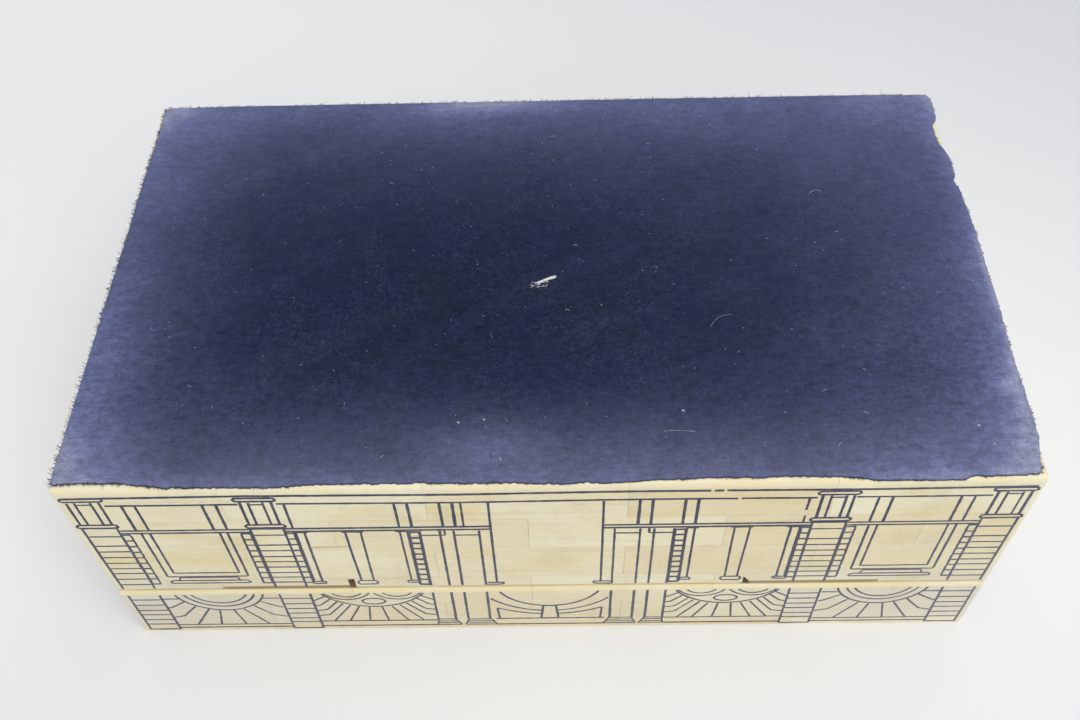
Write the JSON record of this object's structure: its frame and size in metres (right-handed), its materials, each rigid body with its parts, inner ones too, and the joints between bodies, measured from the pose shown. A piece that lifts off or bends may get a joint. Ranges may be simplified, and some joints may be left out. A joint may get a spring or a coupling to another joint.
{
  "type": "bone parquetry box",
  "caption": "Rectangular hinged box veneered in bone slips engraved with a classical house front, dark blue felt under its base, shown lying on its lid.",
  "frame": {"origin": "centre of the lid's outer face, which lies on the floor as in the picture", "axes": "+Z from the lid up to the felted base, +Y towards the hinges, +X to the right of the pictured side, which is at -Y. The box lies on its lid as pictured: turn it half round about X to stand it on its base."},
  "size_m": [0.256, 0.1496, 0.0865],
  "materials": {
    "bone": "polished, satin",
    "carcass_wood": "stained, matt",
    "base_felt": "worn felt",
    "lining_felt": "felt",
    "brass": "aged, satin"
  },
  "bodies": {
    "lid": {"lid_front_rail": "carcass_wood", "lid_back_rail": "carcass_wood", "lid_left_rail": "carcass_wood", "lid_right_rail": "carcass_wood", "lid_panel": "carcass_wood", "lid_lining": "lining_felt", "lid_front_bone": "bone", "lid_back_bone": "bone", "lid_left_bone": "bone", "lid_right_bone": "bone", "lid_top_bone": "bone", "hinge_left_lid_leaf": "brass", "hinge_right_lid_leaf": "brass", "hinge_left_pin": "brass", "hinge_right_pin": "brass", "lid_leaf_screws": "brass"},
    "case": {"case_front_board": "carcass_wood", "case_back_board": "carcass_wood", "case_left_board": "carcass_wood", "case_right_board": "carcass_wood", "case_base_panel": "carcass_wood", "case_lining": "lining_felt", "base_felt": "base_felt", "case_front_bone": "bone", "case_back_bone": "bone", "case_left_bone": "bone", "case_right_bone": "bone", "hinge_left_case_leaf": "brass", "hinge_right_case_leaf": "brass", "case_leaf_screws": "brass"}
  },
  "joints": [
    {"name": "box_hinge", "type": "hinge", "parent": "lid", "child": "case", "pos_m": [0, 0.0718, 0.0292], "axis": [-1, 0, 0], "range_deg": [0, 100]}
  ]
}
